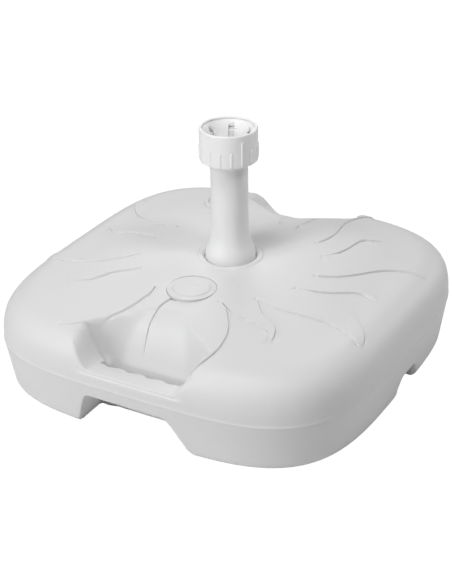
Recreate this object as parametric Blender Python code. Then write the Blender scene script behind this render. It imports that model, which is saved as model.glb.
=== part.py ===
"""A square, fillable parasol base with a plug-in stand tube and a collet clamp.

Units are metres, +Z is up, and the origin is on the ground under the tube.
The two grips are on -Y and +Y, and the filler neck lies between the tube and
the grip on -Y.
"""

import math

import bmesh
import bpy

# Tank: outline, and the heights of its surface
TANK_HALF = 0.250
OUTLINE_POWER = 3.92
OUTLINE_STEPS = 72
SPACE_STEPS = 48
PARTING_Z = 0.067
SHOULDER_Z = 0.126
CROWN_Z = 0.142
SHOULDER_RATIO = 0.813
SHOULDER_POWER = 2.65
CROWN_POWER = 2.26
EASING = (0.74, 0.86)  # ratios between which crown and shoulder ease into each other
TOP_RATIOS = (0.999, 0.994, 0.982, 0.962, 0.93, 0.895, 0.86, 0.80, 0.74, 0.61, 0.45, 0.29, 0.19)
BASE_DRAFT = 0.007
BASE_FILLET = 0.014
FILLET_STEPS = 3
WALL = 0.003

# Grips: a scoop with a finger hole at its foot, and a bar outside the hole.
# "Out" is the distance from the centre towards the grip's own side.
GRIP_LEFT = -0.055
GRIP_RIGHT = 0.057
SCOOP_LINE = (  # out, floor height, half width of the floor
    (0.160, 0.1335, 0.030),
    (0.171, 0.1250, 0.042),
    (0.181, 0.1100, 0.050),
    (0.189, 0.0900, 0.054),
    (0.196, 0.0720, 0.056),
    (0.2205, 0.0830, 0.057),
    (0.262, 0.0830, 0.057),
)
SCOOP_TOP = 0.150
SCOOP_SIDE_SLOPE = 0.45
SCOOP_CORNER = 0.012
HOLE_IN = 0.195
HOLE_OUT = 0.221
HOLE_CORNER = 0.009
FINGER_PITCH = 0.028
FINGER_DEPTH = 0.0022
BAR_BOTTOM = 0.050
BAR_NOTCH_LEFT = (0.062, 0.080)  # half width at the top and at the ground
BAR_NOTCH_RIGHT = (0.048, 0.080)
SIDE_NOTCH_IN = 0.215
SIDE_NOTCH_TOP = 0.042
SIDE_NOTCH_MIDDLE = 0.021
SIDE_NOTCH_HALF = (0.021, 0.034)
NOTCH_CORNER = 0.008
PAST = 0.012  # how far a cutter runs past what it cuts

# Centre socket for the stand tube
SOCKET_RADIUS = 0.0243
SOCKET_FLOOR = 0.006
RECESS_RADIUS = 0.0365
RECESS_FLOOR = 0.137
COLLAR_RADIUS = 0.042
COLLAR_TOP = 0.1436
COLLAR_CHAMFER = 0.0013
COLLAR_OVERLAP = 0.002  # how far the raised ring reaches in over the recess before that is cut

# Filler neck, cap and gasket
FILLER_Y = -0.098
NECK_RADIUS = 0.021
NECK_WALL = 0.0035
NECK_BOTTOM = 0.118
SEAT_RADIUS = 0.0317
SEAT_FLOOR = 0.1345
CAP_RADIUS = 0.0310
CAP_BOTTOM = 0.1363
CAP_TOP = 0.1403
CAP_DISC_RADIUS = 0.0225
CAP_DISC_RISE = 0.0012
CAP_CHAMFER = 0.0012
CAP_PLATE = 0.0015  # how far the plug's bore stops above the cap's underside
PLUG_RADIUS = 0.0192
PLUG_BORE = 0.0165
PLUG_BOTTOM = 0.1200
GASKET_INNER = 0.0217
GASKET_BOTTOM = 0.1348
GASKET_TOP = 0.1360
GASKET_OUTER = 0.0295
CAP_PITCH = 0.005
CAP_THREAD_TURNS = 1.5
CAP_THREAD_START = 0.1225
NECK_CREST = 0.0198
PLUG_CREST = 0.0206

# Stand tube
FIT_GAP = 0.0003
TUBE_RADIUS = 0.0237
POLE_BORE = 0.0195
POLE_SEAT = 0.0105
FOOT_RADIUS = 0.0325
FOOT_LINE = ((0.0000, 0.0), (0.0003, 0.008), (0.0010, 0.0135), (0.0038, 0.0215), (0.0066, 0.030), (0.0088, 0.043))
HEAD_START = 0.270
HEAD_BASE = 0.277
HEAD_TOP = 0.303
HEAD_ROOT = 0.0288
HEAD_CREST = 0.0302
HEAD_THREAD_TURNS = 5
MOUTH_TOP_RADIUS = 0.0277
MOUTH_FOOT_RADIUS = 0.0217
MOUTH_FOOT = 0.271

# Clamp nut
NUT_RADIUS = 0.0365
NUT_BOTTOM = 0.276
NUT_TOP = 0.318
NUT_ROOT = 0.0308
NUT_CREST = 0.0294
NUT_THREAD_TOP = 0.3045
NUT_ROUNDING = 0.0015
NUT_LIP_RADIUS = 0.0330
NUT_LIP_BOTTOM = 0.3155
NUT_GROOVE_RADIUS = 0.0343
NUT_GROOVE_BOTTOM = 0.3105
NUT_THREAD_START = 0.2785
NUT_THREAD_TURNS = 6
NUT_PITCH = 0.004
RIB_COUNT = 16
RIB_FIRST_ANGLE = math.radians(-33.0)
RIB_WIDTH = 0.0030
RIB_RISE = 0.0009
RIB_SINK = 0.001
RIB_SHORT_TOP = 0.2965
RIB_LONG_TOP = 0.3095
RIB_BOTTOM = 0.2775

# Clamp collet
COLLET_LINE = (  # down the funnel, then up the outside
    (0.0326, 0.3152), (0.0290, 0.3095), (0.0250, 0.3020), (0.0220, 0.2940), (0.0197, 0.2850), (0.0197, 0.2730),
    (0.0212, 0.2730), (0.0274, 0.3045), (0.0300, 0.3048), (0.0304, 0.3068), (0.0339, 0.3112), (0.0339, 0.3152),
)
SLOT_COUNT = 6
SLOT_FIRST_ANGLE = math.radians(111.7)
SLOT_WIDTH = 0.0075
SLOT_TOP = 0.3135

ROUND_STEPS = 36
THREAD_STEPS = 20
THREAD_BASE = 0.0016
THREAD_TIP = 0.0008
THREAD_ROOT = 0.0004


def clear_scene():
    for thing in list(bpy.data.objects):
        bpy.data.objects.remove(thing, do_unlink=True)


def plastic(name, colour, roughness):
    """A plain moulded plastic."""
    material = bpy.data.materials.new(name)
    material.use_nodes = True
    shader = material.node_tree.nodes["Principled BSDF"]
    shader.inputs["Base Color"].default_value = (*colour, 1.0)
    shader.inputs["Roughness"].default_value = roughness
    shader.inputs["Metallic"].default_value = 0.0
    return material


def add_object(name, mesh_data, material=None):
    """Make an object of a bmesh. With no material it is a hidden cutter."""
    bmesh.ops.recalc_face_normals(mesh_data, faces=mesh_data.faces)
    mesh = bpy.data.meshes.new(name)
    mesh_data.to_mesh(mesh)
    mesh_data.free()
    thing = bpy.data.objects.new(name, mesh)
    bpy.context.scene.collection.objects.link(thing)
    if material is None:
        thing.hide_render = True
        thing.display_type = "WIRE"
    else:
        mesh.materials.append(material)
        mesh.shade_smooth()
        mesh.set_sharp_from_angle(angle=math.radians(35))
    return thing


def boolean(target, operation, tools):
    for tool in tools:
        change = target.modifiers.new(tool.name, "BOOLEAN")
        change.operation = operation
        change.solver = "EXACT"
        change.object = tool


def loft(rings):
    """A closed solid through rings of points that all have the same count."""
    mesh_data = bmesh.new()
    rows = [[mesh_data.verts.new(point) for point in ring] for ring in rings]
    count = len(rows[0])
    for low, high in zip(rows, rows[1:]):
        for i in range(count):
            j = (i + 1) % count
            mesh_data.faces.new((low[i], low[j], high[j], high[i]))
    mesh_data.faces.new(rows[0])
    mesh_data.faces.new(rows[-1])
    return mesh_data


def turned(profile, steps=ROUND_STEPS, centre_y=0.0):
    """Turn a closed profile of (radius, height) points about a vertical axis."""
    mesh_data = bmesh.new()
    rows = []
    for radius, height in profile:
        if radius == 0:
            rows.append([mesh_data.verts.new((0, centre_y, height))])
            continue
        angles = [math.tau * i / steps for i in range(steps)]
        ring = [(radius * math.cos(a), centre_y + radius * math.sin(a), height) for a in angles]
        rows.append([mesh_data.verts.new(point) for point in ring])
    pairs = list(zip(rows, rows[1:]))
    if profile[0][0] > 0:
        pairs.append((rows[-1], rows[0]))
    for low, high in pairs:
        for i in range(steps):
            j = (i + 1) % steps
            if len(low) == 1:
                mesh_data.faces.new((low[0], high[j], high[i]))
            elif len(high) == 1:
                mesh_data.faces.new((low[i], low[j], high[0]))
            else:
                mesh_data.faces.new((low[i], low[j], high[j], high[i]))
    return mesh_data


def thread(root, crest, start, turns, pitch, centre_y=0.0):
    """A right-hand ridge that winds from root to crest, its root sunk in the wall."""
    sink = math.copysign(THREAD_ROOT, root - crest)
    section = ((root + sink, -THREAD_BASE), (crest, -THREAD_TIP), (crest, THREAD_TIP), (root + sink, THREAD_BASE))
    rings = []
    for step in range(int(turns * THREAD_STEPS) + 1):
        angle = math.tau * step / THREAD_STEPS
        rise = start + pitch * step / THREAD_STEPS
        rings.append([
            (radius * math.cos(angle), centre_y + radius * math.sin(angle), rise + half / 2)
            for radius, half in section
        ])
    return loft(rings)


def arc(centre_u, centre_v, radius, first, last, steps):
    """Points on an arc, with its angles in degrees."""
    angles = [math.radians(first + (last - first) * i / steps) for i in range(steps + 1)]
    return [(centre_u + radius * math.cos(a), centre_v + radius * math.sin(a)) for a in angles]


def tank_ring(reach, height, steps):
    """A superellipse ring that reaches the given distance along X and Y."""
    ring = []
    for i in range(steps):
        angle = math.tau * (i + 0.5) / steps
        across, along = math.cos(angle), math.sin(angle)
        size = (abs(across) ** OUTLINE_POWER + abs(along) ** OUTLINE_POWER) ** (-1 / OUTLINE_POWER)
        ring.append((reach * size * across, reach * size * along, height))
    return ring


def crown_height(ratio):
    """Height of the crowned middle, where ratio is 1 at the parting line."""
    return SHOULDER_Z + (CROWN_Z - SHOULDER_Z) * (1 - (ratio / SHOULDER_RATIO) ** CROWN_POWER)


def shoulder_height(ratio):
    """Height of the rounded shoulder, which starts upright at the parting line."""
    out = ((ratio - SHOULDER_RATIO) / (1 - SHOULDER_RATIO)) ** (SHOULDER_POWER / 2)
    return PARTING_Z + (SHOULDER_Z - PARTING_Z) * (1 - out ** 2) ** (1 / SHOULDER_POWER)


def top_height(ratio):
    start, end = EASING
    if ratio <= start:
        return crown_height(ratio)
    if ratio >= end:
        return shoulder_height(ratio)
    span, nudge = end - start, 0.001
    start_slope = (crown_height(start + nudge) - crown_height(start)) / nudge * span
    end_slope = (shoulder_height(end) - shoulder_height(end - nudge)) / nudge * span
    part = (ratio - start) / span
    return (
        crown_height(start) * (1 + 2 * part) * (1 - part) ** 2 + start_slope * part * (1 - part) ** 2
        + shoulder_height(end) * part ** 2 * (3 - 2 * part) + end_slope * part ** 2 * (part - 1)
    )


def tank_profile():
    """Reach and height of the outer surface, from under the base to the crown."""
    base_reach = TANK_HALF - BASE_DRAFT - BASE_FILLET
    profile = arc(base_reach, BASE_FILLET, BASE_FILLET, -90, 0, FILLET_STEPS)
    profile.append((TANK_HALF, PARTING_Z))
    profile += [(TANK_HALF * ratio, top_height(ratio)) for ratio in TOP_RATIOS]
    return profile


def inset_profile(profile, distance):
    """The same profile, moved into the solid by a wall's thickness."""
    moved = []
    for i, (reach, height) in enumerate(profile):
        before = profile[max(i - 1, 0)]
        after = profile[min(i + 1, len(profile) - 1)]
        run, rise = after[0] - before[0], after[1] - before[1]
        length = math.hypot(run, rise)
        moved.append((reach - distance * rise / length, height + distance * run / length))
    moved[0] = (profile[0][0], profile[0][1] + distance)
    return moved


def half_turned(points):
    """The same points on the opposite side of the tank."""
    return [(-x, -y, z) for x, y, z in points]


def scoop(grow):
    """The hollow above the grip bar, as a solid that is grow larger all round."""
    rings = []
    for out, floor, half in SCOOP_LINE:
        low = floor - grow
        half = half + grow
        corner = SCOOP_CORNER + grow
        lean = SCOOP_SIDE_SLOPE * (SCOOP_TOP - low)
        right = arc(half - corner, low + corner, corner, -90, 0, 3)
        section = right + [(half + lean, SCOOP_TOP)]
        section += [(-u, v) for u, v in reversed(section)]
        reach = out - grow
        rings.append([(u, -reach, v) for u, v in section])
    return rings


def finger_hole(grow):
    """The hole between scoop and bar, scalloped along the bar for four fingers."""
    corner = HOLE_CORNER
    left, right = GRIP_LEFT - grow, GRIP_RIGHT + grow
    inner, outer = HOLE_IN - grow, HOLE_OUT + grow
    outline = arc(left + corner, inner + corner, corner, 180, 270, 3)
    outline += arc(right - corner, inner + corner, corner, -90, 0, 3)
    steps = 24
    middle = (GRIP_LEFT + GRIP_RIGHT) / 2
    for i in range(steps + 1):
        across = right + (left - right) * i / steps
        wave = FINGER_DEPTH * -math.cos(math.tau * (across - middle) / FINGER_PITCH)
        outline.append((across, outer + wave * math.sin(math.pi * i / steps) ** 0.5))
    low, high = BAR_BOTTOM - PAST, SCOOP_LINE[-1][1] + PAST
    return [[(u, -v, low) for u, v in outline], [(u, -v, high) for u, v in outline]]


def notch_side(halves, top, grow):
    """One side of a cut-out at the ground, from its foot up and in, as (across, height) points."""
    half_top, half_base = halves
    lean = (half_base - half_top) / top
    foot = half_base + lean * PAST + grow
    return [(foot, -PAST)] + arc(half_top + grow - NOTCH_CORNER, top + grow - NOTCH_CORNER, NOTCH_CORNER, 30, 90, 3)


def notch(left, right, top, grow):
    return notch_side(right, top, grow) + [(-u, v) for u, v in reversed(notch_side(left, top, grow))]


def bar_notch(grow):
    outline = notch(BAR_NOTCH_LEFT, BAR_NOTCH_RIGHT, BAR_BOTTOM, grow)
    reaches = (HOLE_IN - grow, TANK_HALF + PAST)
    return [[(u, -reach, v) for u, v in outline] for reach in reaches]


def side_notch(grow):
    outline = notch(SIDE_NOTCH_HALF, SIDE_NOTCH_HALF, SIDE_NOTCH_TOP, grow)
    reaches = (SIDE_NOTCH_IN - grow, TANK_HALF + PAST)
    return [[(reach, u + SIDE_NOTCH_MIDDLE, v) for u, v in outline] for reach in reaches]


def socket(grow):
    """The blind socket of the stand tube, with the shallow recess of its foot."""
    wide, deep = RECESS_RADIUS + grow, RECESS_FLOOR - grow
    narrow, floor = SOCKET_RADIUS + grow, SOCKET_FLOOR - grow
    top = CROWN_Z + PAST
    return turned([(0, floor), (narrow, floor), (narrow, deep), (wide, deep), (wide, top), (0, top)])


def filler(grow, neck_radius, neck_bottom):
    """The filler neck with the flat seat that the cap screws down on."""
    wide, seat, top = SEAT_RADIUS + grow, SEAT_FLOOR - grow, CROWN_Z + PAST
    profile = [(0, neck_bottom), (neck_radius, neck_bottom), (neck_radius, seat), (wide, seat), (wide, top), (0, top)]
    return turned(profile, centre_y=FILLER_Y)


def tank_hollows(label, grow):
    """Cutters for every hollow in the outside of the tank, grown by a wall's thickness or not."""
    cutters = []
    for shape_name, shape in (
        ("scoop", scoop), ("finger_hole", finger_hole), ("bar_notch", bar_notch), ("side_notch", side_notch),
    ):
        rings = shape(grow)
        cutters.append(add_object(f"{label}_{shape_name}_a", loft(rings)))
        cutters.append(add_object(f"{label}_{shape_name}_b", loft([half_turned(ring) for ring in rings])))
    cutters.append(add_object(f"{label}_socket", socket(grow)))
    return cutters


def make_tank(white):
    profile = tank_profile()
    tank = add_object("tank", loft([tank_ring(reach, height, OUTLINE_STEPS) for reach, height in profile]), white)

    inner = inset_profile(profile, WALL)
    space = add_object("water_space", loft([tank_ring(reach, height, SPACE_STEPS) for reach, height in inner]))
    kept_walls = tank_hollows("wall", WALL)
    kept_walls.append(add_object("wall_filler", filler(WALL, NECK_RADIUS + NECK_WALL, NECK_BOTTOM)))
    boolean(space, "DIFFERENCE", kept_walls)

    collar_inner = RECESS_RADIUS - COLLAR_OVERLAP
    collar_line = [
        (collar_inner, RECESS_FLOOR), (COLLAR_RADIUS, RECESS_FLOOR), (COLLAR_RADIUS, COLLAR_TOP - COLLAR_CHAMFER),
        (COLLAR_RADIUS - COLLAR_CHAMFER, COLLAR_TOP), (collar_inner, COLLAR_TOP),
    ]
    collar = add_object("collar", turned(collar_line))
    boolean(tank, "UNION", [collar])
    boolean(tank, "DIFFERENCE", [space])
    boolean(tank, "DIFFERENCE", tank_hollows("cut", 0.0))
    boolean(tank, "DIFFERENCE", [add_object("cut_filler", filler(0.0, NECK_RADIUS, NECK_BOTTOM - PAST))])
    neck_thread = thread(NECK_RADIUS, NECK_CREST, CAP_THREAD_START, CAP_THREAD_TURNS, CAP_PITCH, FILLER_Y)
    boolean(tank, "UNION", [add_object("neck_thread", neck_thread)])


def make_cap(white, rubber):
    profile = [
        (0, CAP_BOTTOM + CAP_PLATE), (PLUG_BORE, CAP_BOTTOM + CAP_PLATE), (PLUG_BORE, PLUG_BOTTOM),
        (PLUG_RADIUS, PLUG_BOTTOM), (PLUG_RADIUS, CAP_BOTTOM), (CAP_RADIUS, CAP_BOTTOM),
        (CAP_RADIUS, CAP_TOP - CAP_CHAMFER), (CAP_RADIUS - CAP_CHAMFER, CAP_TOP),
        (CAP_DISC_RADIUS + CAP_DISC_RISE, CAP_TOP),
        (CAP_DISC_RADIUS, CAP_TOP + CAP_DISC_RISE), (0, CAP_TOP + CAP_DISC_RISE),
    ]
    cap = add_object("filler_cap", turned(profile, centre_y=FILLER_Y), white)
    start = CAP_THREAD_START + CAP_PITCH / 2
    plug_thread = thread(PLUG_RADIUS, PLUG_CREST, start, CAP_THREAD_TURNS, CAP_PITCH, FILLER_Y)
    boolean(cap, "UNION", [add_object("plug_thread", plug_thread)])

    ring = [
        (GASKET_INNER, GASKET_BOTTOM), (GASKET_OUTER, GASKET_BOTTOM),
        (GASKET_OUTER, GASKET_TOP), (GASKET_INNER, GASKET_TOP),
    ]
    add_object("cap_gasket", turned(ring, centre_y=FILLER_Y), rubber)


def make_stand_tube(white):
    foot_bottom = RECESS_FLOOR + FIT_GAP
    profile = [(0, SOCKET_FLOOR + FIT_GAP), (TUBE_RADIUS, SOCKET_FLOOR + FIT_GAP), (TUBE_RADIUS, foot_bottom)]
    profile += [(FOOT_RADIUS - inward, foot_bottom + up) for inward, up in FOOT_LINE]
    profile += [
        (TUBE_RADIUS, HEAD_START), (HEAD_ROOT, HEAD_BASE), (HEAD_ROOT, HEAD_TOP), (MOUTH_TOP_RADIUS, HEAD_TOP),
        (MOUTH_FOOT_RADIUS, MOUTH_FOOT), (POLE_BORE, MOUTH_FOOT), (POLE_BORE, POLE_SEAT), (0, POLE_SEAT),
    ]
    tube = add_object("stand_tube", turned(profile), white)
    start = NUT_THREAD_START + NUT_PITCH / 2
    head_thread = thread(HEAD_ROOT, HEAD_CREST, start, HEAD_THREAD_TURNS, NUT_PITCH)
    boolean(tube, "UNION", [add_object("head_thread", head_thread)])


def make_clamp_nut(white):
    edge = NUT_TOP - NUT_ROUNDING
    profile = [(NUT_ROOT, NUT_BOTTOM), (NUT_RADIUS, NUT_BOTTOM), (NUT_RADIUS, edge)]
    profile += arc(NUT_RADIUS - NUT_ROUNDING, edge, NUT_ROUNDING, 30, 90, 2)
    profile += [
        (NUT_LIP_RADIUS + NUT_ROUNDING, NUT_TOP), (NUT_LIP_RADIUS, edge),
        (NUT_LIP_RADIUS, NUT_LIP_BOTTOM), (NUT_GROOVE_RADIUS, NUT_LIP_BOTTOM),
        (NUT_GROOVE_RADIUS, NUT_GROOVE_BOTTOM), (NUT_ROOT, NUT_THREAD_TOP),
    ]
    nut = add_object("clamp_nut", turned(profile), white)
    nut_thread = thread(NUT_ROOT, NUT_CREST, NUT_THREAD_START, NUT_THREAD_TURNS, NUT_PITCH)
    ribs = bmesh.new()
    for i in range(RIB_COUNT):
        angle = RIB_FIRST_ANGLE + math.tau * i / RIB_COUNT
        top = RIB_LONG_TOP if i % 4 == 0 else RIB_SHORT_TOP
        out_x, out_y = math.cos(angle), math.sin(angle)
        corners = []
        for height in (RIB_BOTTOM, top):
            for radius in (NUT_RADIUS - RIB_SINK, NUT_RADIUS + RIB_RISE):
                for side in (-RIB_WIDTH / 2, RIB_WIDTH / 2):
                    point = (radius * out_x - side * out_y, radius * out_y + side * out_x, height)
                    corners.append(ribs.verts.new(point))
        for face in ((0, 1, 3, 2), (4, 6, 7, 5), (0, 4, 5, 1), (2, 3, 7, 6), (0, 2, 6, 4), (1, 5, 7, 3)):
            ribs.faces.new([corners[k] for k in face])
    boolean(nut, "UNION", [add_object("nut_thread", nut_thread), add_object("ribs", ribs)])


def make_clamp_collet(white):
    collet = add_object("clamp_collet", turned(COLLET_LINE), white)
    inner, outer = POLE_BORE / 2, NUT_RADIUS
    slots = []
    for i in range(SLOT_COUNT):
        angle = SLOT_FIRST_ANGLE + math.tau * i / SLOT_COUNT
        out_x, out_y = math.cos(angle), math.sin(angle)
        corners = [(inner, -SLOT_WIDTH / 2), (outer, -SLOT_WIDTH / 2), (outer, SLOT_WIDTH / 2), (inner, SLOT_WIDTH / 2)]
        plan = [(u * out_x - v * out_y, u * out_y + v * out_x) for u, v in corners]
        rings = [[(x, y, height) for x, y in plan] for height in (MOUTH_FOOT - PAST, SLOT_TOP)]
        slots.append(add_object(f"slot_{i + 1}", loft(rings)))
    boolean(collet, "DIFFERENCE", slots)


clear_scene()
white_plastic = plastic("white_plastic", (0.80, 0.80, 0.79), 0.42)
grey_rubber = plastic("grey_rubber", (0.10, 0.10, 0.10), 0.75)
make_tank(white_plastic)
make_cap(white_plastic, grey_rubber)
make_stand_tube(white_plastic)
make_clamp_nut(white_plastic)
make_clamp_collet(white_plastic)
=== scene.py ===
"""The looks of a square, fillable parasol base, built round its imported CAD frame. Metres, +Z up."""

import math

import bpy
import numpy as np
from mathutils import Matrix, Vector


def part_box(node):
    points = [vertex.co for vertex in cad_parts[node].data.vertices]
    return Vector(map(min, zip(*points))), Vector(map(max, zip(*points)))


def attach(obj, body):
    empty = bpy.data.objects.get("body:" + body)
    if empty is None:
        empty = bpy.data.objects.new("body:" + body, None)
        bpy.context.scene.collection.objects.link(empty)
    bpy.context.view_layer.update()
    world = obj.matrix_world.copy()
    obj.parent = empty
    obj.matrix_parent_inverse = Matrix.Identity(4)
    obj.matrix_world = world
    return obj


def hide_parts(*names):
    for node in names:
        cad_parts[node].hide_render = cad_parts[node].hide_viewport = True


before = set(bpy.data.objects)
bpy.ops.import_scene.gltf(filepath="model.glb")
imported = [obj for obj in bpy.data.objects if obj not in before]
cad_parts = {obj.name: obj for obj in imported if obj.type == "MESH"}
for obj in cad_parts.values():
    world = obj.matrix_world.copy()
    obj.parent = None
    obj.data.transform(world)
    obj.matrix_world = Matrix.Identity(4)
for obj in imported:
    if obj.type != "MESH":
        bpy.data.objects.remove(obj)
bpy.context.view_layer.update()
bpy.ops.object.select_all(action="DESELECT")


# --- Studio -----------------------------------------------------------------------------------------
# A product table: a large white floor, soft boxes above, in front and behind, and two smaller lamps.
# The lamps and the back box make the tube throw three soft shadows across the tank.

look_at = (0.0, 0.0, 0.1)
camera_distance = 1.82
camera_azimuth = math.radians(29.7)
camera_elevation = math.radians(27.8)
camera_roll = math.radians(-1.01)
camera_place = (
    look_at[0] + camera_distance * math.sin(camera_azimuth) * math.cos(camera_elevation),
    look_at[1] - camera_distance * math.cos(camera_azimuth) * math.cos(camera_elevation),
    look_at[2] + camera_distance * math.sin(camera_elevation),
)
bpy.ops.object.camera_add(location=camera_place)
camera = bpy.context.object
camera.name = "camera"
heading = Matrix.Rotation(camera_azimuth, 3, "Z")
tilt = Matrix.Rotation(math.pi / 2 - camera_elevation, 3, "X")
camera.rotation_euler = (heading @ tilt @ Matrix.Rotation(camera_roll, 3, "Z")).to_euler("XYZ")
camera.data.lens = 86.5
camera.data.sensor_width = 36.0
camera.data.shift_x = -0.0088
camera.data.shift_y = -0.0140
camera.data.clip_end = 50.0
bpy.context.scene.camera = camera

# The floor throws light back at the base, and the paper just below it is all that the camera sees
bpy.ops.mesh.primitive_plane_add(size=14.0, location=(0.0, 0.0, -0.0004))
floor = bpy.context.object
floor.name = "floor"
floor.visible_camera = False
floor_paint = bpy.data.materials.new("floor_paint")
floor_paint.use_nodes = True
floor_shader = floor_paint.node_tree.nodes["Principled BSDF"]
floor_shader.inputs["Base Color"].default_value = (0.84, 0.84, 0.84, 1.0)
floor_shader.inputs["Roughness"].default_value = 0.9
floor.data.materials.append(floor_paint)

bpy.ops.mesh.primitive_plane_add(size=60.0, location=(0.0, 0.0, -0.0010))
paper = bpy.context.object
paper.name = "paper"
paper.visible_diffuse = False
paper.visible_glossy = False
paper.visible_transmission = False
paper.visible_shadow = False
paper_white = bpy.data.materials.new("paper_white")
paper_white.use_nodes = True
paper_shader = paper_white.node_tree.nodes["Principled BSDF"]
paper_shader.inputs["Base Color"].default_value = (0.0, 0.0, 0.0, 1.0)
paper_shader.inputs["Emission Color"].default_value = (1.0, 1.0, 1.0, 1.0)
paper_shader.inputs["Emission Strength"].default_value = 1.05
paper.data.materials.append(paper_white)


lamp_distance = 2.4


def soft_box(name, azimuth, elevation, size, power):
    """A square area light that faces the base from a place on a sphere round it."""
    across, up = math.radians(azimuth), math.radians(elevation)
    place = (
        lamp_distance * math.cos(up) * math.cos(across),
        lamp_distance * math.cos(up) * math.sin(across),
        lamp_distance * math.sin(up),
    )
    bpy.ops.object.light_add(type="AREA", location=place)
    lamp = bpy.context.object
    lamp.name = name
    lamp.data.shape = "SQUARE"
    lamp.data.size = size
    lamp.data.energy = power
    lamp.rotation_euler = (math.pi / 2 - up, 0.0, across + math.pi / 2)


soft_box("top_box", azimuth=-90, elevation=72, size=0.8, power=18.0)
soft_box("front_box", azimuth=-120, elevation=20, size=0.8, power=14.5)
soft_box("left_spot", azimuth=-106, elevation=46, size=0.45, power=10.0)
soft_box("right_spot", azimuth=-8, elevation=58, size=0.45, power=9.5)
soft_box("back_box", azimuth=124, elevation=34, size=1.1, power=11.0)
soft_box("far_box", azimuth=60, elevation=20, size=0.8, power=11.5)

world = bpy.data.worlds.new("surround")
bpy.context.scene.world = world
world.use_nodes = True
surround = world.node_tree.nodes["Background"]
surround.inputs["Color"].default_value = (1.0, 1.0, 1.0, 1.0)
surround.inputs["Strength"].default_value = 0.05
bpy.context.scene.view_settings.view_transform = "Standard"


# --- Tank -------------------------------------------------------------------------------------------
# One blow-moulded shell of white polyethylene. Its two mould halves meet at a fine raised seam, the rays
# on its top stand about two millimetres above the valleys, and both grips are pressed into its sides.

tank_low, tank_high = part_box("tank")
half = (tank_high[0] - tank_low[0]) / 2
outline_power = 3.92
seam_height = 0.067
shoulder_height = 0.126
crown_height = 0.142
shoulder_ratio = 0.813
shoulder_power = 2.65
crown_power = 2.26
easing_start, easing_end = 0.740, 0.860  # where crown and shoulder ease into each other
base_draft = 0.007
base_fillet = 0.014

# The sun: eight short and eight long rays round a disc, with a dimple where two rays leave the disc
ray_rise = 0.0008
valley_drop = 0.0012
step_half_width = 0.0005
bank = 2.8  # a groove along each edge ends this many half widths from it
groove_drop = 0.45  # depth of that groove, as a part of the step
sun_disc = 0.118
short_tip, long_tip = 0.207, 0.250
dimple_depth = 0.0022
dimple_radius = 0.0017
dimple_angles = (-17.2, 2.85)
sector_count = 8
sector = 45.0
# Radius in metres against angle in degrees, of both edges of a short ray at 0 and a long ray at 22.5
short_left = (
    (0.118, -17.2), (0.136, -12.2), (0.155, -6.2), (0.170, -1.2), (0.181, 1.2), (0.195, 0.9), (0.207, -0.1),
)
short_right = (
    (0.118, 2.8), (0.135, 1.6), (0.154, 1.4), (0.170, 3.0), (0.180, 3.5), (0.193, 2.5), (0.207, 0.1),
)
long_left = (
    (0.118, 2.9), (0.145, 9.0), (0.165, 14.6), (0.183, 19.4), (0.202, 22.3), (0.222, 23.2), (0.250, 22.4),
)
long_right = (
    (0.118, 27.7), (0.130, 31.0), (0.150, 32.6), (0.180, 33.0), (0.200, 31.5), (0.222, 28.8), (0.240, 25.6),
    (0.250, 22.6),
)
half_space = 5.6
even_edges = (-16.9, -half_space, half_space, 16.9)  # the edges' angles where they are evenly spread
# The sun is twisted a few degrees away from +X. The edges beside the grips have lines of their own.
twist_line = (
    (0.0, 0.0), (50.0, 0.0), (80.0, -2.0), (105.0, -6.0), (160.0, -7.5), (200.0, -6.5), (230.0, -5.0),
    (275.0, -5.5), (310.0, -4.0), (335.0, -1.0), (360.0, 0.0),
)
grip_right = (
    (0.118, -5.4), (0.125, -5.6), (0.141, -6.4), (0.160, -5.8), (0.175, -5.2), (0.190, -4.6), (0.207, -4.2),
)
grip_left_turn = 9.0  # how far the left edge beside a grip starts from the right one
grip_numbers = (2, 6)


def ease(value):
    """0 below 0, 1 above 1, and a smooth step between."""
    value = np.clip(value, 0.0, 1.0)
    return value * value * (3.0 - 2.0 * value)


def soft_min(first, second, width):
    """The smaller of two, rounded where they cross within a width."""
    mix = np.clip(0.5 + 0.5 * (second - first) / width, 0.0, 1.0)
    return second * (1.0 - mix) + first * mix - width * mix * (1.0 - mix)


def soft_max(first, second, width):
    return -soft_min(-first, -second, width)


def curve_between(start, end, start_slope, end_slope, part):
    """A cubic from start to end, with the given slopes over the whole span."""
    return (
        start * (1 + 2 * part) * (1 - part) ** 2 + start_slope * part * (1 - part) ** 2
        + end * part ** 2 * (3 - 2 * part) + end_slope * part ** 2 * (part - 1)
    )


def smooth_line(points, value):
    """A smooth curve through the points, read at the given values."""
    places = np.array([point[0] for point in points])
    levels = np.array([point[1] for point in points])
    slopes = np.gradient(levels, places)
    value = np.clip(value, places[0], places[-1])
    left = np.clip(np.searchsorted(places, value, side="right") - 1, 0, len(places) - 2)
    span = places[left + 1] - places[left]
    part = (value - places[left]) / span
    return curve_between(levels[left], levels[left + 1], slopes[left] * span, slopes[left + 1] * span, part)


def outline_size(angle):
    """How far the rounded square reaches at an angle, where 1 is its reach along X and Y."""
    across, along = np.abs(np.cos(angle)), np.abs(np.sin(angle))
    return (across ** outline_power + along ** outline_power) ** (-1.0 / outline_power)


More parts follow.
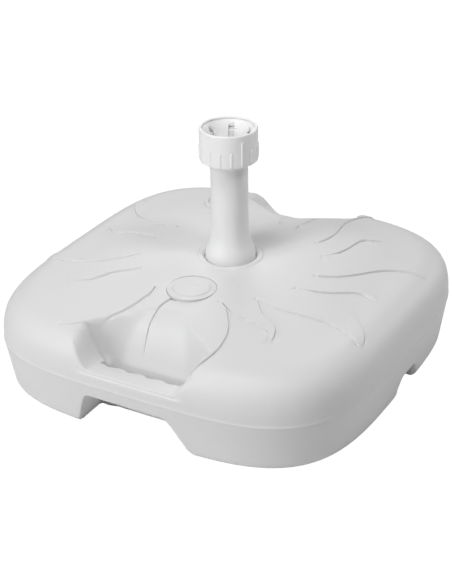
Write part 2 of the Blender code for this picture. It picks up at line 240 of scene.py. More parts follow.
def plain_top(ratio):
    """Height of the top before the sun and the grips, where ratio is 1 at the seam."""
    def crown(where):
        rise = 1 - (where / shoulder_ratio) ** crown_power
        return shoulder_height + (crown_height - shoulder_height) * rise

    def shoulder(where):
        out = np.clip((where - shoulder_ratio) / (1 - shoulder_ratio), 0.0, 1.0) ** (shoulder_power / 2)
        up = np.sqrt(np.clip(1 - out ** 2, 0.0, 1.0)) ** (2 / shoulder_power)
        return seam_height + (shoulder_height - seam_height) * up

    span = easing_end - easing_start
    nudge = 0.001
    start, end = crown(easing_start), shoulder(easing_end)
    start_slope = (crown(easing_start + nudge) - start) / nudge * span
    end_slope = (end - shoulder(easing_end - nudge)) / nudge * span
    part = np.clip((ratio - easing_start) / span, 0.0, 1.0)
    eased = curve_between(start, end, start_slope, end_slope, part)
    inner = crown(np.clip(ratio, 0.0, easing_start))
    outer = shoulder(np.clip(ratio, easing_end, 1.0))
    return np.where(ratio < easing_start, inner, np.where(ratio > easing_end, outer, eased))


def edge_angle(kind, radius, number):
    """Angle of a ray edge at a radius.

    The kinds run anticlockwise: 0 long right, 1 short left, 2 short right, 3 long left.
    """
    lines = (long_right, short_left, short_right, long_left)
    angle = smooth_line(lines[kind], radius)
    if kind == 0:
        angle = angle - sector
    angle = angle + smooth_line(twist_line, np.mod(sector * number + even_edges[kind], 360.0))
    if number in grip_numbers and kind in (1, 2):
        turn = grip_left_turn - grip_left_turn * ease((radius - 0.165) / 0.042)
        angle = smooth_line(grip_right, radius) - turn * (kind == 1)
    spread = 0.15 + 4.0 * ease((sun_disc - radius) / 0.03)
    tip = short_tip if kind in (1, 2) else long_tip
    tip_spread = 0.1 + 3.0 * ease((radius - tip) / 0.025)
    sign_in = -1.0 if kind in (0, 2) else 1.0
    sign_out = -1.0 if kind in (1, 3) else 1.0
    inner = ease((sun_disc + 0.001 - radius) / 0.001)
    outer = ease((radius - tip + 0.001) / 0.001)
    return angle + sign_in * spread * inner + sign_out * tip_spread * outer + sector * number


# The tank's surface is a sheet rolled round the Z axis. Its columns follow the edges of the rays, and
# they stand closer within the grips' part of the round.
grip_part = 32.0
close_columns, wide_columns = 15, 6
columns = []  # kind and number of the edge on the left, then place between the edges
for edge in range(4 * sector_count):
    kind, number = edge % 4, edge // 4
    middle = number * sector + even_edges[kind] + half_space
    from_grip = abs((middle + 180.0) % 180.0 - 90.0)
    between = close_columns if from_grip < grip_part else wide_columns
    columns.append((kind, number, "edge", 0.0))
    columns.append((kind, number, "left", 0.0))
    columns.append((kind, number, "left_bank", 0.0))
    columns.extend((kind, number, "inside", (i + 1) / (between + 1)) for i in range(between))
    columns.append((kind, number, "right_bank", 0.0))
    columns.append((kind, number, "right", 0.0))
columns.append((0, sector_count, "edge", 0.0))

# Its rows run from the middle of the underside, out, up the wall and in over the top to the socket's floor
shoulder_reach = half * shoulder_ratio
seam_rows = ((-0.0016, 0.0), (-0.0008, 0.00035), (0.0, 0.0006), (0.0008, 0.00035))
bar_top = 0.083
rows = []  # reach, squareness, height or None for the top, outward bump
rows.append((1e-7, 1.0, 0.0, 0.0))
rows.extend((reach, 1.0, 0.0, 0.0) for reach in (0.03, 0.08, 0.12, 0.15, 0.165, 0.175))
rows.extend((0.180 + 0.0034 * i, 1.0, 0.0, 0.0) for i in range(15))
fillet_reach = half - base_draft - base_fillet
fillet_steps = 6
for i in range(fillet_steps + 1):
    bend = 0.5 * math.pi * i / fillet_steps
    rows.append((fillet_reach + base_fillet * math.sin(bend), 1.0, base_fillet * (1 - math.cos(bend)), 0.0))
wall_steps = 20
for i in range(1, wall_steps):
    part = i / wall_steps
    height = base_fillet + (seam_height - 0.0016 - base_fillet) * part
    rows.append((half - base_draft * (1 - part), 1.0, height, 0.0))
rows.extend((half, 1.0, seam_height + up, bump) for up, bump in seam_rows)


def shoulder_reach_at(height):
    """Reach of the shoulder's surface at a height above the seam."""
    up = ((height - seam_height) / (shoulder_height - seam_height)) ** (shoulder_power / 2)
    out = math.sqrt(1 - up ** 2) ** (2 / shoulder_power)
    return half * (shoulder_ratio + (1 - shoulder_ratio) * out)


for height in (0.0686, 0.072, 0.0755, 0.0785, 0.0800, 0.0812, 0.0822, bar_top):
    rows.append((shoulder_reach_at(height), 1.0, None, 0.0))
corner_reach = rows[-1][0]
rows.extend((corner_reach - back, 1.0, None, 0.0) for back in (0.0006, 0.0013, 0.0021, 0.0030, 0.0042))
last = rows[-1][0]
shoulder_steps = 24
for i in range(1, shoulder_steps + 1):
    rows.append((last + (shoulder_reach - last) * (i / shoulder_steps) ** 0.9, 1.0, None, 0.0))
reach = shoulder_reach
ray_row = 0.0022
while reach > sun_disc + 0.005:
    reach -= ray_row
    rows.append((reach, float(ease((reach - 0.14) / (shoulder_reach - 0.14))), None, 0.0))
reach = sun_disc + 0.0026
edge_row = 0.0008
while reach > sun_disc - 0.0040:
    rows.append((reach, 0.0, None, 0.0))
    reach -= edge_row
rows.extend((0.112 - 0.005 * i, 0.0, None, 0.0) for i in range(13))
recess_rows = (  # a raised ring, the recess for the tube's foot, and the socket
    (0.0440, None, 0.0), (0.0428, None, 0.0), (0.0420, None, 0.0005), (0.0412, None, 0.0011),
    (0.0400, None, 0.0014), (0.0385, None, 0.0014), (0.0370, None, 0.0011), (0.0355, None, 0.0004),
    (0.0343, None, -0.0003), (0.0338, None, -0.0010), (0.0336, 0.1395, 0.0), (0.0335, 0.1380, 0.0),
    (0.0331, 0.1371, 0.0), (0.0325, 0.1370, 0.0), (0.0250, 0.1370, 0.0),
    (0.0244, 0.1366, 0.0), (0.0243, 0.1355, 0.0), (0.0243, 0.1100, 0.0), (0.0243, 0.0600, 0.0),
    (0.0243, 0.0068, 0.0), (0.0238, 0.0060, 0.0), (0.0100, 0.0060, 0.0), (1e-7, 0.0060, 0.0),
)
rows.extend((reach, 0.0, height, lift) for reach, height, lift in recess_rows)
first_recess = len(rows) - len(recess_rows)

# Places of the sheet's points
reach = np.array([row[0] for row in rows])[:, None]
square = np.array([row[1] for row in rows])[:, None]
is_top = np.array([row[2] is None for row in rows])[:, None]
given_height = np.array([0.0 if row[2] is None else row[2] for row in rows])[:, None]
above_seam = np.arange(len(rows))[:, None] >= next(i for i, row in enumerate(rows) if row[2] is None)
angles = np.zeros((len(rows), len(columns)))
relief = np.zeros_like(angles)
evenness = np.where(above_seam, ease((reach / half - 0.94) / 0.06), 1.0)


def level(kind, at):
    """1 on a ray or on the central disc, and 0 in the valleys, to the left of an edge of this kind."""
    if kind in (0, 2):
        return 1 - ease((at - sun_disc) / 0.004)
    tip = short_tip if kind == 1 else long_tip
    return 1 - ease((at - tip + 0.003) / 0.003)


def ramped(kind, number, part, at):
    """As level, but beside the grips the valleys rise evenly to the next ray instead of ending in an edge."""
    if number in grip_numbers and kind in (0, 2):
        low = level(kind, at)
        return low + (level(kind + 1, at) - low) * part
    return level(kind, at)


for column, (kind, number, place, part) in enumerate(columns):
    following = (kind + 1) % 4
    following_number = number + (kind == 3)
    angle = np.full(len(rows), math.radians(number * sector + even_edges[kind]))[:, None]
    for _ in range(12):
        radius = reach * (1 - square + square * outline_size(angle))
        first = edge_angle(kind, radius, number)
        second = edge_angle(following, radius, following_number)
        even_first = even_edges[kind] + sector * number
        even_second = even_edges[following] + sector * following_number
        first = first + (even_first - first) * evenness
        second = second + (even_second - second) * evenness
        width = second - first
        step = np.minimum(np.degrees(step_half_width / np.maximum(radius, 0.001)), 0.1 * width)
        if place == "edge":
            found = first
        elif place == "left":
            found = first + step
        elif place == "right":
            found = second - step
        elif place == "left_bank":
            found = first + bank * step
        elif place == "right_bank":
            found = second - bank * step
        else:
            found = first + bank * step + part * (width - 2 * bank * step)
        angle = 0.5 * angle + 0.5 * np.radians(found)
    angles[:, column] = angle[:, 0]

    before_number = number - (kind == 0)
    here = 1.0 if place.startswith("right") else part
    height_here = ramped(kind, number, here, radius)
    if place == "edge":
        height_here = 0.5 * (height_here + ramped((kind - 1) % 4, before_number, 1.0, radius))
    if place in ("left", "right"):
        if place == "left":
            beside = ramped((kind - 1) % 4, before_number, 1.0, radius)
        else:
            beside = ramped(following, following_number, 0.0, radius)
        height_here = height_here - groove_drop * np.maximum(beside - height_here, 0.0)
    relief[:, column] = height_here[:, 0]

radius = reach * (1 - square + square * outline_size(angles))
across = radius * np.cos(angles)
along = radius * np.sin(angles)
ratio = (np.abs(across) ** outline_power + np.abs(along) ** outline_power) ** (1 / outline_power) / half
top = plain_top(np.clip(ratio, 0.0, 1.0))
height = np.where(is_top, top, given_height)
sun_fade = 1 - ease((ratio - 0.955) / 0.04)
sun = np.where(above_seam, (relief * (ray_rise + valley_drop) - valley_drop) * sun_fade, 0.0)
for number in (n for n in range(sector_count) if n not in grip_numbers):
    for angle in dimple_angles:
        spot_degrees = angle + sector * number
        spot = math.radians(spot_degrees + float(smooth_line(twist_line, spot_degrees % 360.0)))
        away = np.hypot(across - sun_disc * math.cos(spot), along - sun_disc * math.sin(spot))
        sun = sun - np.where(above_seam, dimple_depth * np.exp(-((away / dimple_radius) ** 2)), 0.0)
bump = np.array([row[3] for row in rows])[:, None]

# The grips are pressed in from above and below, alike on both sides after half a turn. Their lines give,
# against the distance out from the centre, the height of the scoop's floor, how far the foot of its left
# and right walls lies from the middle, and how tightly the walls bend up.
scoop_start = 0.150
grip_half_width = 0.125
scoop_floor = (
    (0.150, 0.1420), (0.160, 0.1335), (0.170, 0.1240), (0.180, 0.1085), (0.188, 0.0900), (0.196, 0.0690),
    (0.204, 0.0640), (0.214, 0.0800), (0.221, bar_top), (0.270, bar_top),
)
left_foot = (
    (0.150, 0.004), (0.165, 0.018), (0.176, 0.028), (0.188, 0.036), (0.200, 0.042), (0.212, 0.048),
    (0.225, 0.053), (0.270, 0.056),
)
right_foot = ((0.150, 0.006), (0.165, 0.022), (0.176, 0.032), (0.195, 0.045), (0.215, 0.052), (0.270, 0.055))
wall_bend = ((0.150, 0.0050), (0.180, 0.0060), (0.205, 0.0090), (0.270, 0.0095))
hole_inner, hole_outer = 0.195, 0.221
hole_left, hole_right = -0.055, 0.057
bar_bottom = 0.050
bar_rounding = 0.0042
# Each notch has sloping walls, which reach the ground at its foot after the run given here, and soft corners
bar_notch_foot = 0.0815
bar_notch_right_run, bar_notch_left_run = 0.032, 0.016
bar_notch_inner = 0.1895
side_notch_top = 0.031
side_notch_middle = 0.015
side_notch_foot = 0.0345
side_notch_run = 0.013
side_notch_inner = 0.2105
notch_back_slope = 9.0
notch_edge = 0.004
for turned in (1.0, -1.0):
    side, out = turned * across, -turned * along
    near = (out > scoop_start) & (np.abs(side) < grip_half_width)
    beyond = np.maximum(side - smooth_line(right_foot, out), -smooth_line(left_foot, out) - side)
    beyond = np.maximum(beyond, 0.0)
    scoop = smooth_line(scoop_floor, out) + beyond ** 2 / (2 * smooth_line(wall_bend, out))
    softness = 0.005 + 0.012 * ease((0.222 - out) / 0.02) + 0.008 * ease(beyond / 0.01)
    pressed = soft_min(height, scoop, softness)
    # The bar's long outer edge is rounded
    bar_part = near & (out > 0.2) & above_seam
    on_wall = bar_part & (height <= bar_top)
    to_corner = np.where(on_wall, bar_top - height, np.maximum(corner_reach - reach, 0.0))
    tuck = (math.sqrt(2) - 1) * bar_rounding * np.clip(1 - to_corner / bar_rounding, 0.0, 1.0) ** 2 * 0.7071
    tuck = tuck * (1 - ease((beyond - 0.004) / 0.02)) * bar_part
    height = np.where(near & above_seam, pressed, height)
    height = height - tuck
    bump = bump - tuck
    # Notch under the bar, and the notch low in the side to its right
    right_wall = (bar_notch_foot - side) * bar_bottom / bar_notch_right_run
    left_wall = (bar_notch_foot + side) * bar_bottom / bar_notch_left_run
    notch = soft_min(np.full_like(out, bar_bottom), right_wall, 0.014)
    notch = soft_min(notch, left_wall, 0.018)
    notch = soft_min(notch, (out - bar_notch_inner) * notch_back_slope, 0.010)
    raised = soft_max(height, notch, notch_edge)
    under = (out > 0.185) & (np.abs(side) < 0.1) & ~above_seam
    height = np.where(under, raised, height)
    from_middle = np.abs(turned * along - side_notch_middle)
    side_wall = (side_notch_foot - from_middle) * side_notch_top / side_notch_run
    notch = soft_min(np.full_like(out, side_notch_top), side_wall, 0.014)
    notch = soft_min(notch, (side - side_notch_inner) * notch_back_slope, 0.010)
    raised = soft_max(height, notch, notch_edge)
    under = (side > 0.205) & (from_middle < 0.06) & ~above_seam
    height = np.where(under, raised, height)

# The sun fades out down the grips. A row's bump lifts it in the recess, and pushes it out elsewhere.
height = height + sun * ease((height - 0.080) / 0.020)
recess = np.arange(len(rows))[:, None] >= first_recess
height = np.where(recess, height + bump, height)
outward = np.where(recess, 0.0, bump)
across = across + outward * np.cos(angles)
along = along + outward * np.sin(angles)


def rolled_sheet(name, across, along, up):
    """A closed skin from rows of places that run round an axis, each row meeting itself at the seam."""
    row_count, column_count = across.shape
    bpy.ops.mesh.primitive_grid_add(x_subdivisions=column_count - 1, y_subdivisions=row_count - 1, size=1.0)
    sheet = bpy.context.object
    sheet.name = name
    places = np.stack([across, along, np.broadcast_to(up, across.shape)], axis=-1)
    sheet.data.vertices.foreach_set("co", places.reshape(-1).astype(np.float32))
    bpy.ops.object.mode_set(mode="EDIT")
    bpy.ops.mesh.select_all(action="SELECT")
    bpy.ops.mesh.remove_doubles(threshold=0.000004)
    bpy.ops.mesh.normals_make_consistent(inside=False)
    bpy.ops.object.mode_set(mode="OBJECT")
    return sheet


tank = rolled_sheet("tank_shell", across, along, height)


def finger_hole_cutter(turned):
    """The through hole of a grip: scalloped along the bar, and flared where it leaves the bar's top."""
    corner = 0.009
    corner_steps = 8
    outline = []  # side, out, and whether the point moves out where the hole flares
    for centre, start in ((hole_left + corner, 180), (hole_right - corner, 270)):
        for i in range(corner_steps + 1):
            bend = math.radians(start + 90 * i / corner_steps)
            out_here = hole_inner + corner + corner * math.sin(bend)
            outline.append((centre + corner * math.cos(bend), out_here, 0.0))
    steps = 96
    middle = (hole_left + hole_right) / 2
    finger_pitch, finger_depth = 0.028, 0.0024
    for i in range(steps + 1):
        side_here = hole_right + (hole_left - hole_right) * i / steps
        wave = -finger_depth * math.cos(math.tau * (side_here - middle) / finger_pitch)
        outline.append((side_here, hole_outer + wave * math.sin(math.pi * i / steps) ** 0.3, 1.0))
    flare = (  # height, and how far the scalloped side has moved out
        (0.036, 0.0), (0.0480, 0.0), (0.0790, 0.0), (0.0806, 0.0003), (0.0818, 0.0010), (0.0826, 0.0020),
        (0.0836, 0.0040), (0.1100, 0.0040),
    )
    bpy.ops.mesh.primitive_circle_add(vertices=len(outline), fill_type="NGON")
    cutter = bpy.context.object
    bpy.ops.object.mode_set(mode="EDIT")
    for _ in flare[1:]:
        bpy.ops.mesh.extrude_region_move(TRANSFORM_OT_translate={"value": (0.0, 0.0, 0.01)})
    bpy.ops.object.mode_set(mode="OBJECT")
    for ring, (up, wider) in enumerate(flare):
        for i, (side_here, out_here, flares) in enumerate(outline):
            point = (turned * side_here, -turned * (out_here + wider * flares), up)
            cutter.data.vertices[ring * len(outline) + i].co = point
    bpy.ops.object.mode_set(mode="EDIT")
    bpy.ops.mesh.select_all(action="SELECT")
    bpy.ops.mesh.normals_make_consistent(inside=False)
    bpy.ops.object.mode_set(mode="OBJECT")
    return cutter


def soft_line(corners, step):
    """A fine line through (radius, height, rounding) corners, closed unless it starts on the axis."""
    points = []
    for i, (radius_here, height_here, rounding) in enumerate(corners):
        corner = np.array((radius_here, height_here))
        before = np.array(corners[i - 1][:2]) - corner
        after = np.array(corners[(i + 1) % len(corners)][:2]) - corner
        if rounding == 0.0:
            points.append(corner)
            continue
        start = corner + before * min(rounding / np.linalg.norm(before), 0.5)
        end = corner + after * min(rounding / np.linalg.norm(after), 0.5)
        for part in (0.0, 0.25, 0.5, 0.75, 1.0):
            points.append(start * (1 - part) ** 2 + 2 * corner * part * (1 - part) + end * part ** 2)
    if corners[0][0] > 0.0005:
        points.append(points[0])
    line = [points[0]]
    for start, end in zip(points, points[1:]):
        pieces = max(1, math.ceil(np.linalg.norm(end - start) / step))
        line.extend(start + (end - start) * i / pieces for i in range(1, pieces + 1))
    line = np.array(line)
    return np.maximum(line[:, :1], 1e-7), line[:, 1:]


def thread_ridge(angle, up, pitch, first, last):
    """1 on the crest of a right-hand thread and 0 at its root, running out at both of its ends."""
    phase = np.mod((up - first) / pitch - angle / math.tau, 1.0)
    ridge = np.clip((0.36 - np.abs(phase - 0.5)) / 0.16, 0.0, 1.0)
    return ridge * ease((up - first) / 0.001) * ease((last - up) / 0.001)


def combine(piece, tool, operation):
    """Cut a tool from a piece, or join it on, and remove the tool."""
    bpy.ops.object.select_all(action="DESELECT")
    bpy.context.view_layer.objects.active = piece
    change = piece.modifiers.new("combine", "BOOLEAN")
    change.operation = operation
    change.solver = "EXACT"
    change.object = tool
    bpy.ops.object.modifier_apply(modifier=change.name)
    bpy.data.objects.remove(tool, do_unlink=True)


def smooth_by_angle(piece, degrees):
    """Shade a piece smooth, but for edges sharper than an angle."""
    bpy.ops.object.select_all(action="DESELECT")
    piece.select_set(True)
    bpy.context.view_layer.objects.active = piece
    bpy.ops.object.shade_smooth_by_angle(angle=math.radians(degrees))


for turned in (1.0, -1.0):
    combine(tank, finger_hole_cutter(turned), "DIFFERENCE")

# Filler: a flat seat, a threaded neck, and the room below it, of which only this part can be seen
cap_low, cap_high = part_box("filler_cap")
filler_x, filler_y = (cap_low[0] + cap_high[0]) / 2, (cap_low[1] + cap_high[1]) / 2
neck_radius = 0.021
seat_radius = 0.0313
seat_shift = 0.00025  # the seat lies a hair further out than the cap, so its gap opens in front
seat_height = 0.1345
cap_pitch = 0.005
neck_thread_start, neck_thread_end, neck_thread_depth = 0.1225, 0.1300, 0.0012
room_radius, room_floor, room_top = 0.054, 0.006, 0.116
above_tank = 0.1500
filler_radius, filler_up = soft_line((
    (0.0, room_floor, 0.0), (room_radius, room_floor, 0.004), (room_radius, room_top, 0.004),
    (neck_radius + 0.0035, 0.1178, 0.0003), (neck_radius, 0.1184, 0.0004),
    (neck_radius, seat_height, 0.0008), (seat_radius, seat_height, 0.0006), (seat_radius, above_tank, 0.0),
    (0.0, above_tank, 0.0),
), 0.0009)
filler_angle = np.linspace(0.0, math.tau, 97)[None, :]
in_neck = (filler_radius < neck_radius + 0.0001) & (filler_up > 0.1186) & (filler_up < seat_height - 0.0009)
ridge = thread_ridge(filler_angle, filler_up, cap_pitch, neck_thread_start, neck_thread_end)
filler_radius = filler_radius - neck_thread_depth * ridge * in_neck
on_seat = filler_up > seat_height - 0.0002
filler_along = filler_y + filler_radius * np.sin(filler_angle) - seat_shift * on_seat
filler_cutter = rolled_sheet(
    "filler_cutter", filler_x + filler_radius * np.cos(filler_angle), filler_along, filler_up,
)
combine(tank, filler_cutter, "DIFFERENCE")
smooth_by_angle(tank, 42)


def plug(tree, socket, value):
    """Link a shader's number into a socket, or set the socket to a plain value."""
    if isinstance(value, Number):
        tree.links.new(value.socket, socket)
    else:
        socket.default_value = value


class Number:
    """A number in a shader, so that its maths is written as Python maths."""

    def __init__(self, tree, socket):
        self.tree, self.socket = tree, socket

    def math(self, operation, first, second):
        """Add a Math node."""
        node = self.tree.nodes.new("ShaderNodeMath")
        node.operation = operation
        for socket, value in zip(node.inputs, (first, second)):
            plug(self.tree, socket, value)
        return Number(self.tree, node.outputs[0])

    def __add__(self, other):
        return self.math("ADD", self, other)

    def __radd__(self, other):
        return self.math("ADD", other, self)

    def __sub__(self, other):
        return self.math("SUBTRACT", self, other)

    def __rsub__(self, other):
        return self.math("SUBTRACT", other, self)

    def __mul__(self, other):
        return self.math("MULTIPLY", self, other)

    def __rmul__(self, other):
        return self.math("MULTIPLY", other, self)


class Finish:
    """A material that is built node by node round one Principled shader."""

    def __init__(self, name):
        self.material = bpy.data.materials.new(name)
        self.material.use_nodes = True
        self.tree = self.material.node_tree
        self.shader = self.tree.nodes["Principled BSDF"]

    def node(self, kind, settings, output=0, **sockets):
        """Add a node with its settings and the values or links of its sockets, and give one output."""
        made = self.tree.nodes.new(kind)
        for key, value in settings.items():
            setattr(made, key, value)
        for key, value in sockets.items():
            plug(self.tree, made.inputs[key.replace("_", " ")], value)
        return Number(self.tree, made.outputs[output])

    def feed(self, **sockets):
        """Set or link inputs of the Principled shader."""
        for key, value in sockets.items():
            plug(self.tree, self.shader.inputs[key.replace("_", " ")], value)


def moulded_plastic(name, light, dark, roughness, peel_size, peel_depth):
    """White moulded plastic: faintly cloudy, with a soft orange peel and fine scuffs in its gloss."""
    finish = Finish(name)
    place = finish.node("ShaderNodeTexCoord", {}, output=3)
    clouds = finish.node("ShaderNodeTexNoise", {}, Vector=place, Scale=9.0, Detail=3.0, Roughness=0.55)
    specks = finish.node("ShaderNodeTexNoise", {}, Vector=place, Scale=260.0, Detail=2.0, Roughness=0.6)
    cloudy = clouds * 0.75 + specks * 0.25
    colour = finish.node(
        "ShaderNodeMix", {"data_type": "RGBA"}, output=2,
        Factor=cloudy, A=(*dark, 1.0), B=(*light, 1.0),
    )
    scuffs = finish.node("ShaderNodeTexNoise", {}, Vector=place, Scale=55.0, Detail=5.0, Roughness=0.7)
    peel = finish.node(
        "ShaderNodeTexNoise", {}, Vector=place, Scale=1.0 / peel_size, Detail=2.0, Roughness=0.5,
    )
    relief_map = peel + specks * 0.15
    normal = finish.node("ShaderNodeBump", {}, Height=relief_map, Strength=0.35, Distance=peel_depth)
    finish.feed(Base_Color=colour, Roughness=roughness + (scuffs - 0.5) * 0.16, Normal=normal)
    finish.feed(IOR=1.5)
    return finish.material


def finish_piece(piece, material, body, node):
    """Give a piece its one material, and tie it to the CAD frame."""
    piece.data.materials.clear()
    piece.data.materials.append(material)
    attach(piece, body)
    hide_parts(node)


tank_white = moulded_plastic(
    "tank_white", light=(0.79, 0.79, 0.79), dark=(0.76, 0.76, 0.765), roughness=0.52, peel_size=0.0030,
    peel_depth=0.0003,
)
finish_piece(tank, tank_white, "base", "tank")


# --- Stand tube -------------------------------------------------------------------------------------
# The upright that plugs into the tank's socket: a thick injection-moulded tube on a barrel-shaped foot,
# with a threaded head. Its mouth narrows like a cone, so that the collet is pressed round the pole.

tube_low, tube_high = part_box("stand_tube")
tube_radius = 0.0237
pole_bore = 0.0195
pole_seat = 0.0105
foot_bottom, foot_top = 0.1373, 0.190
head_root, head_crest = 0.0288, 0.0302
head_start, head_base = 0.2700, 0.2765
mouth_radius, mouth_foot_radius, mouth_foot = 0.0277, 0.0217, 0.2710
nut_pitch = 0.004
foot_line = (  # height and radius
    (0.1373, 0.0325), (0.1420, 0.0324), (0.1470, 0.0321), (0.1510, 0.0314), (0.1560, 0.0297),
    (0.1610, 0.0279), (0.1670, 0.0261), (0.1740, 0.0247), (0.1820, 0.0239), (foot_top, tube_radius),
)
foot_heights = np.linspace(foot_bottom + 0.0012, foot_top, 40)
foot_corners = [(float(smooth_line(foot_line, up)), up, 0.0) for up in foot_heights]
tube_up_radius, tube_up = soft_line((
    (0.0, tube_low[2], 0.0), (tube_radius, tube_low[2], 0.0012), (tube_radius, foot_bottom, 0.0004),
    (foot_line[0][1], foot_bottom, 0.0008), *foot_corners, (tube_radius, head_start, 0.0020),
    (head_root, head_base, 0.0010), (head_root, tube_high[2], 0.0006), (mouth_radius, tube_high[2], 0.0004),
    (mouth_foot_radius, mouth_foot, 0.0004), (pole_bore, mouth_foot, 0.0004), (pole_bore, pole_seat, 0.0006),
    (0.0, pole_seat, 0.0),
), 0.0011)
tube_angle = np.linspace(0.0, math.tau, 129)[None, :]
head_side = (tube_up_radius > head_root - 0.0001) & (tube_up > 0.2770)
head_thread_start, head_thread_end = 0.2790, tube_high[2] - 0.0020
ridge = thread_ridge(tube_angle, tube_up, nut_pitch, head_thread_start, head_thread_end)
tube_up_radius = tube_up_radius + (head_crest - head_root) * ridge * head_side
stand_tube = rolled_sheet(
    "tube_upright", tube_up_radius * np.cos(tube_angle), tube_up_radius * np.sin(tube_angle), tube_up,
)
smooth_by_angle(stand_tube, 40)
tube_white = moulded_plastic(
    "tube_white", light=(0.91, 0.91, 0.91), dark=(0.89, 0.89, 0.895), roughness=0.50, peel_size=0.0060,
    peel_depth=0.0001,
)
finish_piece(stand_tube, tube_white, "stand", "stand_tube")


# --- Clamp nut --------------------------------------------------------------------------------------
# The ring that is turned by hand to clamp the pole. It is plain above and has sixteen grip ribs low on
# its side, every fourth of them tall, a rounded rim, and a coarse thread inside.

nut_low, nut_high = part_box("clamp_nut")
nut_radius = 0.0365
nut_root, nut_crest = 0.0308, 0.0294
lip_radius, lip_bottom = 0.0330, 0.3155
groove_radius, groove_bottom = 0.0343, 0.3110
nut_thread_start, nut_thread_end = 0.2785, 0.3030
rib_count = 16
rib_rise = 0.0009
rib_bottom, short_rib_top, long_rib_top = 0.2770, 0.2965, 0.3095
rib_half_angle = 2.75
first_rib = -33.0
nut_line_radius, nut_up = soft_line((
    (nut_root, nut_low[2], 0.0008), (nut_radius, nut_low[2], 0.0012), (nut_radius, nut_high[2], 0.0026),
    (lip_radius, nut_high[2], 0.0022), (lip_radius, lip_bottom, 0.0002), (groove_radius, lip_bottom, 0.0002),
    (groove_radius, groove_bottom, 0.0003), (nut_root, 0.3045, 0.0004),
), 0.0007)
rib_space = 360.0 / rib_count
rib_columns = (
    -11.25, -8.5, -6.0, -3.8, -2.9, -2.5, -2.2, -1.9, -1.2, 0.0, 1.2, 1.9, 2.2, 2.5, 2.9, 3.8, 6.0, 8.5,
)
nut_degrees = [first_rib + rib_space * rib + column for rib in range(rib_count) for column in rib_columns]
nut_degrees = np.array(nut_degrees + [nut_degrees[0] + 360.0])[None, :]
nut_angle = np.radians(nut_degrees)
from_rib = np.mod(nut_degrees - first_rib + rib_space / 2, rib_space) - rib_space / 2
rib_number = np.round((nut_degrees - first_rib) / rib_space)
rib_top = np.where(np.mod(rib_number, 4) == 0, long_rib_top, short_rib_top)
rib = ease(rib_half_angle - np.abs(from_rib)) * ease((nut_up - rib_bottom) / 0.0012)
rib = rib * ease((rib_top - nut_up) / 0.0014) * (nut_line_radius > nut_radius - 0.0001)
inside_nut = nut_line_radius < nut_root + 0.0001
ridge = thread_ridge(nut_angle, nut_up, nut_pitch, nut_thread_start, nut_thread_end) * inside_nut
nut_line_radius = nut_line_radius + rib_rise * rib - (nut_root - nut_crest) * ridge
clamp_nut = rolled_sheet(
    "nut_ring", nut_line_radius * np.cos(nut_angle), nut_line_radius * np.sin(nut_angle), nut_up,
)
smooth_by_angle(clamp_nut, 45)
nut_white = moulded_plastic(
    "nut_white", light=(0.94, 0.94, 0.94), dark=(0.92, 0.92, 0.925), roughness=0.40, peel_size=0.0050,
    peel_depth=0.0001,
)
finish_piece(clamp_nut, nut_white, "nut", "clamp_nut")


# --- Clamp collet -----------------------------------------------------------------------------------
# An injection-moulded funnel that snaps into the nut's groove, cut into six springy fingers below its rim.
# Each finger has a few fine bars beside its slot. The fingers' ends are hidden in the tube's mouth.

slot_count = 6
first_slot = 111.7
slot_width = 0.0075
slot_top = 0.3135
slot_reach = 0.0303
collet_low, collet_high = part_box("clamp_collet")
collet_bore, funnel_mouth, collet_rim = 0.0197, 0.0329, 0.0339
funnel_line = (  # height and radius
    (0.2730, collet_bore), (0.2850, collet_bore), (0.2940, 0.0220), (0.3020, 0.0250), (0.3095, 0.0290),
    (0.3152, funnel_mouth),
)
funnel_corners = [(float(smooth_line(funnel_line, up)), up, 0.0) for up in np.linspace(0.3143, 0.2750, 60)]
collet_radius, collet_up = soft_line((
    (funnel_mouth, collet_high[2], 0.0002), *funnel_corners, (collet_bore, collet_low[2], 0.0004),
    (0.0212, collet_low[2], 0.0004), (0.0274, 0.3045, 0.0006), (0.0300, 0.3048, 0.0002),
    (0.0304, 0.3068, 0.0004), (collet_rim, 0.3112, 0.0003), (collet_rim, collet_high[2], 0.0003),
), 0.0008)
collet_angle = np.linspace(0.0, math.tau, 241)[None, :]
on_funnel = np.arange(len(collet_up))[:, None] < 5 + len(funnel_corners)
from_slot = np.mod(first_slot - np.degrees(collet_angle), 360.0 / slot_count)
bars_bottom, bars_top, bars_pitch, bars_rise = 0.2905, 0.3115, 0.0030, 0.0005
bar_zone = ease((from_slot - 5.0) / 2.0) * ease((17.0 - from_slot) / 2.0)
bar_wave = ease((np.sin(math.tau * (collet_up - 0.2900) / bars_pitch) + 0.2) / 0.9)
bar_height = ease((collet_up - bars_bottom) / 0.001) * ease((bars_top - collet_up) / 0.001)
collet_radius = collet_radius - bars_rise * bar_zone * bar_wave * bar_height * on_funnel
clamp_collet = rolled_sheet(
    "collet_funnel", collet_radius * np.cos(collet_angle), collet_radius * np.sin(collet_angle), collet_up,
)
slot_bottom = collet_low[2] - 0.005
for slot in range(slot_count // 2):
    bpy.ops.mesh.primitive_cube_add(size=1.0, location=(0.0, 0.0, (slot_bottom + slot_top) / 2))
    slot_cutter = bpy.context.object
    slot_cutter.dimensions = (2 * slot_reach, slot_width, slot_top - slot_bottom)
    slot_cutter.rotation_euler = (0.0, 0.0, math.radians(first_slot + 360.0 / slot_count * slot))
    bpy.ops.object.transform_apply(location=True, rotation=True, scale=True)
    combine(clamp_collet, slot_cutter, "DIFFERENCE")
smooth_by_angle(clamp_collet, 40)
collet_white = moulded_plastic(
    "collet_white", light=(0.95, 0.95, 0.95), dark=(0.93, 0.93, 0.935), roughness=0.42, peel_size=0.0050,
    peel_depth=0.0001,
)
finish_piece(clamp_collet, collet_white, "collet", "clamp_collet")


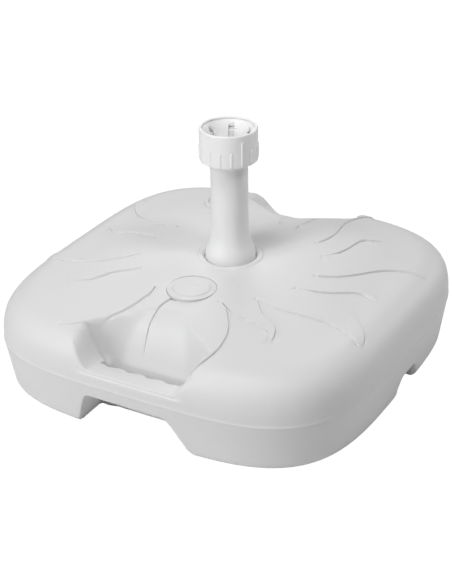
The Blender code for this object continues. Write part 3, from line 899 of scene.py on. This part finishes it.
# --- Filler cap -------------------------------------------------------------------------------------
# The screw plug of the filling hole, nearly flush with the tank: a low rim, a slightly raised round
# middle with a small thumb pip, and a hollow threaded plug below.

cap_radius = 0.0310
disc_radius = 0.0225
cap_top = 0.1403
cap_bottom = cap_low[2] + 0.0163
plug_radius, plug_crest = 0.0192, 0.0206
plug_bore, plug_bottom, plug_roof = 0.0165, 0.1200, 0.1378
plug_thread_start, plug_thread_end = 0.1225, 0.1320
cap_line_radius, cap_up = soft_line((
    (0.0, plug_roof, 0.0), (plug_bore, plug_roof, 0.0004), (plug_bore, plug_bottom, 0.0003),
    (plug_radius, plug_bottom, 0.0006), (plug_radius, cap_bottom, 0.0004), (cap_radius, cap_bottom, 0.0004),
    (cap_radius, cap_top, 0.0009), (disc_radius + 0.0012, cap_top, 0.0005),
    (disc_radius, cap_high[2], 0.0008), (0.0, cap_high[2], 0.0),
), 0.0009)
cap_angle = np.linspace(0.0, math.tau, 129)[None, :]
on_plug = (np.abs(cap_line_radius - plug_radius) < 0.0001) & (cap_up < 0.1350)
ridge = thread_ridge(cap_angle, cap_up, cap_pitch, plug_thread_start, plug_thread_end)
cap_line_radius = cap_line_radius + (plug_crest - plug_radius) * 0.8 * ridge * on_plug
cap_across, cap_along = cap_line_radius * np.cos(cap_angle), cap_line_radius * np.sin(cap_angle)
pip_half_width, pip_half_depth, pip_place, pip_rise = 0.0050, 0.0026, 0.0075, 0.0009
pip = np.exp(-((cap_across / pip_half_width) ** 2) - ((cap_along - pip_place) / pip_half_depth) ** 2)
cap_up = cap_up + pip_rise * pip * (cap_up > cap_top)
filler_cap = rolled_sheet("cap_screw", filler_x + cap_across, filler_y + cap_along, cap_up)
smooth_by_angle(filler_cap, 40)
cap_white = moulded_plastic(
    "cap_white", light=(0.75, 0.75, 0.75), dark=(0.72, 0.72, 0.725), roughness=0.50, peel_size=0.0040,
    peel_depth=0.0001,
)
finish_piece(filler_cap, cap_white, "cap", "filler_cap")


# --- Cap gasket -------------------------------------------------------------------------------------
# A flat rubber ring between the cap's rim and its seat, which keeps the water in. It is hidden while
# the cap is shut.

gasket_low, gasket_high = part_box("cap_gasket")
gasket_inner, gasket_outer = 0.0217, (gasket_high[0] - gasket_low[0]) / 2
gasket_edge = 0.0003
gasket_radius, gasket_up = soft_line((
    (gasket_inner, gasket_low[2], gasket_edge), (gasket_outer, gasket_low[2], gasket_edge),
    (gasket_outer, gasket_high[2], gasket_edge), (gasket_inner, gasket_high[2], gasket_edge),
), 0.0012)
gasket_angle = np.linspace(0.0, math.tau, 129)[None, :]
gasket_across, gasket_along = gasket_radius * np.cos(gasket_angle), gasket_radius * np.sin(gasket_angle)
cap_gasket = rolled_sheet("gasket_ring", filler_x + gasket_across, filler_y + gasket_along, gasket_up)
smooth_by_angle(cap_gasket, 50)
rubber = Finish("gasket_grey")
place = rubber.node("ShaderNodeTexCoord", {}, output=3)
dust = rubber.node("ShaderNodeTexNoise", {}, Vector=place, Scale=180.0, Detail=4.0, Roughness=0.6)
tint = rubber.node(
    "ShaderNodeMix", {"data_type": "RGBA"}, output=2,
    Factor=dust, A=(0.07, 0.07, 0.072, 1.0), B=(0.12, 0.12, 0.122, 1.0),
)
grain = rubber.node("ShaderNodeBump", {}, Height=dust, Strength=0.3, Distance=0.0002)
rubber.feed(Base_Color=tint, Roughness=0.68 + dust * 0.15, Normal=grain)
finish_piece(cap_gasket, rubber.material, "seal", "cap_gasket")
